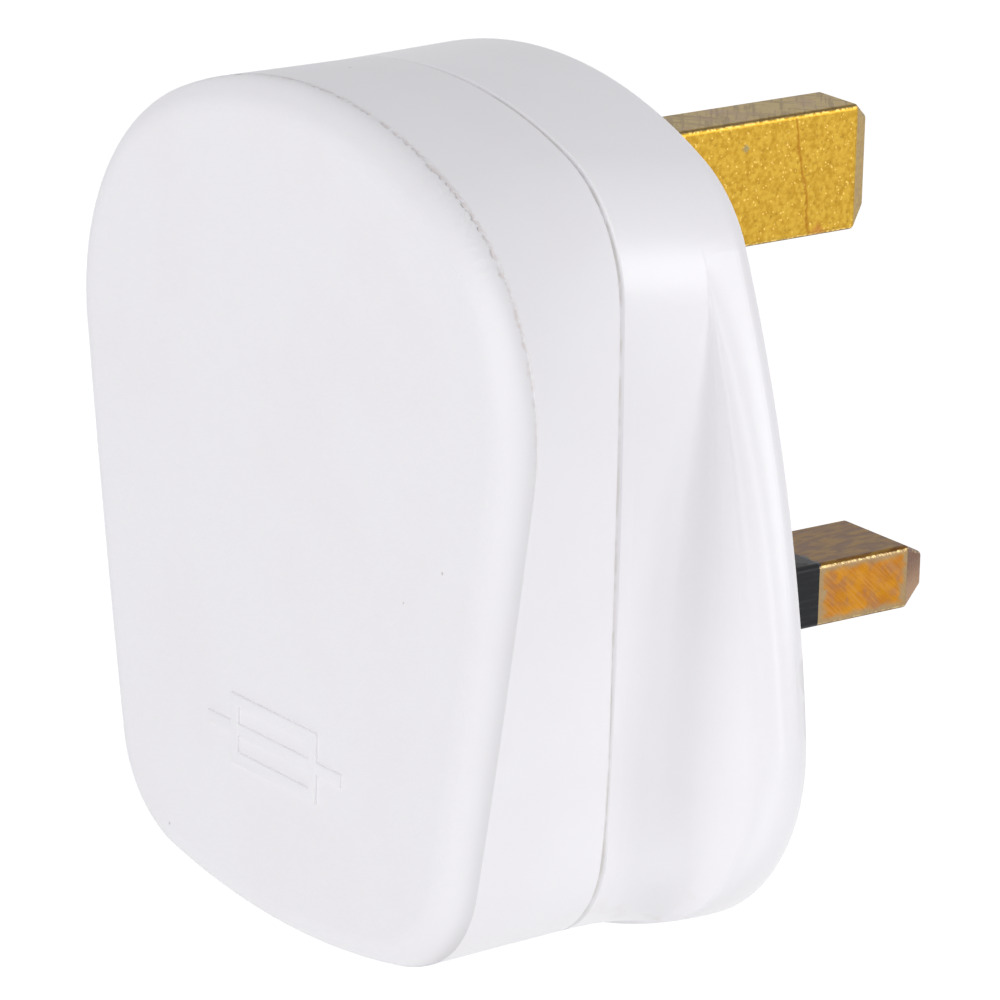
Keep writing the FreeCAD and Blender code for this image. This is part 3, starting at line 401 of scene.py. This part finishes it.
first_lines, second_lines = (earth.stretch(DRAWN_OUT, (0, 0, turn)) for turn in HATCH_TURNS)
first_hatch = earth.noise(0.3, 3.0, first_lines).rising(0.5, 0.62)
second_hatch = earth.noise(0.3, 3.0, second_lines).rising(0.52, 0.64)
hatch = first_hatch.over(second_hatch)
dull = earth.mix(hatch * 0.55, OLIVE, DARK_OLIVE)
dull = earth.mix(earth.noise(1.6, 3.0).rising(0.5, 0.7) * 0.5, dull, DULL_BROWN)
tilt = abs(earth.face_z)
narrow = tilt.over(earth.face_y).rising(0.5, 0.62)
edge = tilt.rising(0.25, 0.4) * tilt.falling(0.55, 0.75)
line = tilt.rising(0.62, 0.72) * tilt.falling(0.9, 0.97)
earth_colour = earth.mix(narrow, gold, dull)
earth_colour = earth.mix(edge * earth.grains(0.2).rising(0.5, 0.7) * 0.8, earth_colour, SPARK)
earth_colour = earth.mix(line * 0.6, earth_colour, EDGE_LINE)
earth.set(
    Base_Color=earth_colour,
    Metallic=1.0,
    Roughness=grit * 0.25 + 0.3,
    Normal=earth.bump(grit + hatch * 0.5 * narrow, 0.006),
)
paint(earth, "earth_pin")

# %% [markdown]
# The two short pins have been in and out of sockets for years. Their outer sides are rubbed to a warm
# orange gold with slanting scratches, inside a dull border where the socket's contacts don't reach.

# %% Short pins: the outer sides
ORANGE, PALE_ORANGE, PINKISH = shade(174, 112, 34), shade(184, 124, 30), shade(150, 104, 72)
SCRATCH_COLOUR, KHAKI = shade(196, 146, 84), shade(150, 133, 103)
SLEEVE_END, BORDER_END = 9.5, 15.6

short = Finish("short_pin_brass")
scratch = short.noise(0.16, 3.0, short.stretch((1, 16, 1), (-0.75, 0, 0))).rising(0.4, 0.66)
patch = short.noise(1.1, 3.0).rising(0.48, 0.66)
side = short.mix(short.noise(1.6, 2.0).rising(0.4, 0.6), ORANGE, PALE_ORANGE)
side = short.mix(patch * 0.7, side, PINKISH)
side = short.mix(scratch * 0.3, side, SCRATCH_COLOUR)
rub = (short.noise(0.6, 4.0) - 0.5) * 1.1
border = (abs(short.z) + rub * 0.6).rising(1.2, 1.75)
border = border.over((short.y + rub).falling(SLEEVE_END + 0.25, SLEEVE_END + 0.75))
border = border.over((short.y + rub).rising(BORDER_END, BORDER_END + 0.6))
side = short.mix(border * 0.85, side, KHAKI)
print("short pins: rubbed bright from y", SLEEVE_END, "to", BORDER_END, "mm")

# %% [markdown]
# Their flat tops are stained brown along the length of the pin, their bevelled tips are dull and their long
# edges worn bright. The moulded sleeve ends in a slightly ragged edge, and a little of it clings to the
# brass, where it isn't metal any more.

# %% Short pins: tops, tips and edges
BROWN, LIGHT_BROWN, DARK_BROWN = shade(100, 66, 30), shade(132, 100, 44), shade(88, 56, 42)
TIP_LOW, TIP_HIGH, WORN_COLOUR = shade(166, 130, 98), shade(112, 76, 56), shade(206, 182, 128)
CHARCOAL = shade(22, 23, 26)

streak = short.noise(0.5, 4.0, short.stretch((1, 3.5, 1), (0, 0, 0.12)))
top = short.mix(streak.rising(0.36, 0.64), BROWN, LIGHT_BROWN)
top = short.mix(short.noise(0.9, 3.0).rising(0.55, 0.75) * 0.6, top, DARK_BROWN)
slope = abs(short.face_z)
flat = slope.rising(0.45, 0.62)
tip = short.face_y.rising(0.2, 0.4)
short_colour = short.mix(flat, side, top)
tip_colour = short.mix(short.z.rising(-1.2, 1.2), TIP_LOW, TIP_HIGH)
short_colour = short.mix(tip * 0.9, short_colour, tip_colour)
worn = slope.rising(0.2, 0.35) * slope.falling(0.5, 0.7)
short_colour = short.mix(worn * short.grains(0.2).rising(0.3, 0.9) * 0.7, short_colour, WORN_COLOUR)
cling_line = short.y - short.noise(0.6, 3.0) * 1.1
cling = cling_line.falling(SLEEVE_END - 0.45, SLEEVE_END - 0.35) * flat
short_colour = short.mix(cling, short_colour, CHARCOAL)
short.set(
    Base_Color=short_colour,
    Metallic=1 - cling,
    Roughness=streak * 0.2 + 0.3,
    Normal=short.bump(scratch * (1 - flat) + streak * flat, 0.02),
)
paint(short, "live_pin", "neutral_pin")

# %% [markdown]
# The sleeves are black plastic, a little dusty, with fine scratches along the pin from the socket's shutters.

# %% Sleeves
DUST_COLOUR, RUBBED_COLOUR = shade(40, 41, 44), shade(62, 63, 66)

sleeve = Finish("sleeve_plastic")
rubbed = sleeve.noise(0.25, 3.0, sleeve.stretch((1, 12, 1))).rising(0.5, 0.75)
dust = sleeve.noise(0.8, 4.0).rising(0.5, 0.8)
black = sleeve.mix(dust * 0.5, CHARCOAL, DUST_COLOUR)
black = sleeve.mix(rubbed * 0.3, black, RUBBED_COLOUR)
sleeve.set(
    Base_Color=black,
    Roughness=dust * 0.2 + 0.4,
    Normal=sleeve.bump(rubbed, 0.008),
    Specular_IOR_Level=0.2,
)
paint(sleeve, "live_pin_sleeve", "neutral_pin_sleeve")

# %% [markdown]
# Inside are the usual metals: brass for the live terminal, a coppery spring strip for the fuse clips, zinc
# plated steel for the screws and nut, and bright caps and a tinned wire in the fuse. One function makes such
# a plain metal: brushed along the piece, with spots where the polish has gone dull.


# %% Inner metals
def plain_metal(name, bright, dulled, rough):
    """Brushed metal with duller spots."""
    finish = Finish(name)
    spots = finish.noise(0.9, 4.0).rising(0.45, 0.7)
    brushed = finish.noise(0.12, 3.0, finish.stretch((1, 10, 1)))
    finish.set(
        Base_Color=finish.mix(spots, bright, dulled),
        Metallic=1.0,
        Roughness=spots * 0.2 + rough,
        Normal=finish.bump(brushed, 0.006),
    )
    return finish


paint(plain_metal("terminal_brass", shade(214, 172, 84), shade(176, 138, 70), 0.25), "live_terminal")
paint(plain_metal("clip_copper", shade(214, 150, 104), shade(178, 118, 80), 0.22),
      "live_pin_fuse_clip", "terminal_fuse_clip")
paint(plain_metal("plated_steel", shade(204, 202, 192), shade(168, 166, 156), 0.28),
      "earth_terminal_screw", "neutral_terminal_screw", "live_terminal_screw", "cover_screw",
      "cover_screw_washer", "cover_nut", "cord_grip_screws")
paint(plain_metal("fuse_cap_nickel", shade(214, 212, 204), shade(186, 182, 172), 0.15),
      "fuse_cap_lower", "fuse_cap_upper")
paint(plain_metal("fuse_wire_tin", shade(200, 198, 192), shade(170, 168, 162), 0.3), "fuse_element")

# %% [markdown]
# The fuse's barrel is a tube of unglazed ceramic, which stands the heat when the wire blows. Firing leaves it
# cream rather than white, dry to the touch and finely mottled.

# %% Fuse ceramic
CREAM, DARK_CREAM = shade(232, 228, 216), shade(214, 206, 188)

ceramic = Finish("fuse_ceramic")
fired = ceramic.noise(0.4, 4.0)
ceramic.set(
    Base_Color=ceramic.mix(fired, CREAM, DARK_CREAM),
    Roughness=0.6,
    Normal=ceramic.bump(fired, 0.01),
)
paint(ceramic, "fuse_barrel")

# %% [markdown]
# The camera looks at the cover and the live side, a little from above, through a long lens. Its place was
# worked out from the pins, whose sizes are known: the azimuth and elevation say where it stands, and the
# roll how far it was tilted.

# %% Camera
AZIMUTH, ELEVATION, ROLL = (math.radians(angle) for angle in (53.507, 17.467, 1.471))
DISTANCE = 400 * MM
TARGET = Vector((-5.22, 0, 2.366)) * MM
SENSOR, FOCAL = 36.0, 6.53286


def direction(azimuth, elevation):
    """The way from the plug towards a place around it: azimuth 0 is in front of the cover."""
    level = math.cos(elevation)
    return Vector((math.sin(azimuth) * level, -math.cos(azimuth) * level, math.sin(elevation)))


back = direction(AZIMUTH, ELEVATION)
sideways = Vector((math.cos(AZIMUTH), math.sin(AZIMUTH), 0))
upright = back.cross(sideways)
right = math.cos(ROLL) * sideways + math.sin(ROLL) * upright
up = math.cos(ROLL) * upright - math.sin(ROLL) * sideways
lens = bpy.data.cameras.new("camera")
lens.sensor_width = SENSOR
lens.lens = SENSOR * FOCAL
camera = bpy.data.objects.new("camera", lens)
bpy.context.scene.collection.objects.link(camera)
turned = Matrix((right, up, back)).transposed().to_4x4()
camera.matrix_world = Matrix.Translation(TARGET + back * DISTANCE) @ turned
bpy.context.scene.camera = camera
print("camera at", [round(v, 3) for v in camera.location])

# %% [markdown]
# The picture has a plain white ground and soft light, as from a white light tent. A pale floor lies well
# below the plug and throws light back up. The camera and the reflections see it glow white, so that it
# vanishes in the ground, while the light that it sends onto the plug stays at a plain level.

# %% Floor
FLOOR_Z, FLOOR_SIZE, FLOOR_GLOW = -300 * MM, 4.0, 0.62
SEEN_BY = ("Is Camera Ray", "Is Glossy Ray", "Is Transmission Ray")

bpy.ops.mesh.primitive_plane_add(size=FLOOR_SIZE, location=(0, 0, FLOOR_Z))
floor = bpy.context.object
floor.name = "floor"
paper = Finish("floor_paper")
camera_ray, glossy_ray, clear_ray = (paper.add("ShaderNodeLightPath", {}, {}, ray) for ray in SEEN_BY)
seen = camera_ray.over(glossy_ray).over(clear_ray)
fibres = paper.noise(4.0, 3.0)
paper.set(
    Base_Color=paper.mix(fibres, (0.9, 0.9, 0.9, 1), (0.92, 0.92, 0.92, 1)),
    Roughness=0.9,
    Emission_Color=paper.mix(seen, (0, 0, 0, 1), (1, 1, 1, 1)),
    Emission_Strength=FLOOR_GLOW,
)
floor.data.materials.append(paper.material)
print("floor at z", FLOOR_Z, "m")

# %% [markdown]
# The surroundings work in the same way. The camera and the reflections see full white, and everything else
# gets the weaker, slightly blue light of the tent's walls. The network takes the largest of that light and
# the three kinds of ray, each of which is 0 or 1.

# %% Surroundings
WALL_LIGHT, WALL_COLOUR = 0.43, (0.975, 0.98, 1, 1)

world = bpy.data.worlds.new("studio")
bpy.context.scene.world = world
world.use_nodes = True
air = world.node_tree
path = air.nodes.new("ShaderNodeLightPath")
strength = None
for ray in SEEN_BY:
    larger = air.nodes.new("ShaderNodeMath")
    larger.operation = "MAXIMUM"
    air.links.new(path.outputs[ray], larger.inputs[0])
    larger.inputs[1].default_value = WALL_LIGHT
    if strength:
        air.links.new(strength, larger.inputs[1])
    strength = larger.outputs[0]
background = air.nodes["Background"]
air.links.new(strength, background.inputs["Strength"])
background.inputs["Color"].default_value = WALL_COLOUR
print("walls give", WALL_LIGHT, "of the white that the camera sees")

# %% [markdown]
# Four lamps shape the plug. A large one in front lights the face, and one at the side the pins and the grip.
# A tall narrow strip shows only as a reflection along the flange, and a weak lamp from below keeps the
# underside from going grey. None of them is seen by the camera.


# %% Lamps
def lamp(name, azimuth, elevation, distance, power, wide, tall):
    """A soft oblong lamp that faces the plug from an azimuth and an elevation in degrees."""
    aim = direction(math.radians(azimuth), math.radians(elevation))
    light = bpy.data.lights.new(name, "AREA")
    light.energy = power
    light.shape = "RECTANGLE"
    light.size, light.size_y = wide, tall
    holder = bpy.data.objects.new(name, light)
    bpy.context.scene.collection.objects.link(holder)
    holder.location = aim * distance
    holder.rotation_euler = aim.to_track_quat("Z", "Y").to_euler()
    holder.visible_camera = False
    print(name, [round(v, 2) for v in holder.location], power, "W")
    return holder


lamp("front_light", azimuth=8, elevation=16, distance=0.6, power=1.6, wide=0.4, tall=0.4)
lamp("side_light", azimuth=116, elevation=14, distance=0.6, power=1.4, wide=0.3, tall=0.3)
edge_strip = lamp("edge_strip", azimuth=74, elevation=6, distance=0.6, power=0.5, wide=0.05, tall=0.5)
edge_strip.visible_diffuse = False
lamp("low_fill", azimuth=60, elevation=-50, distance=0.32, power=0.14, wide=0.25, tall=0.25)
bpy.context.scene.view_settings.view_transform = "Standard"

# %% [markdown]
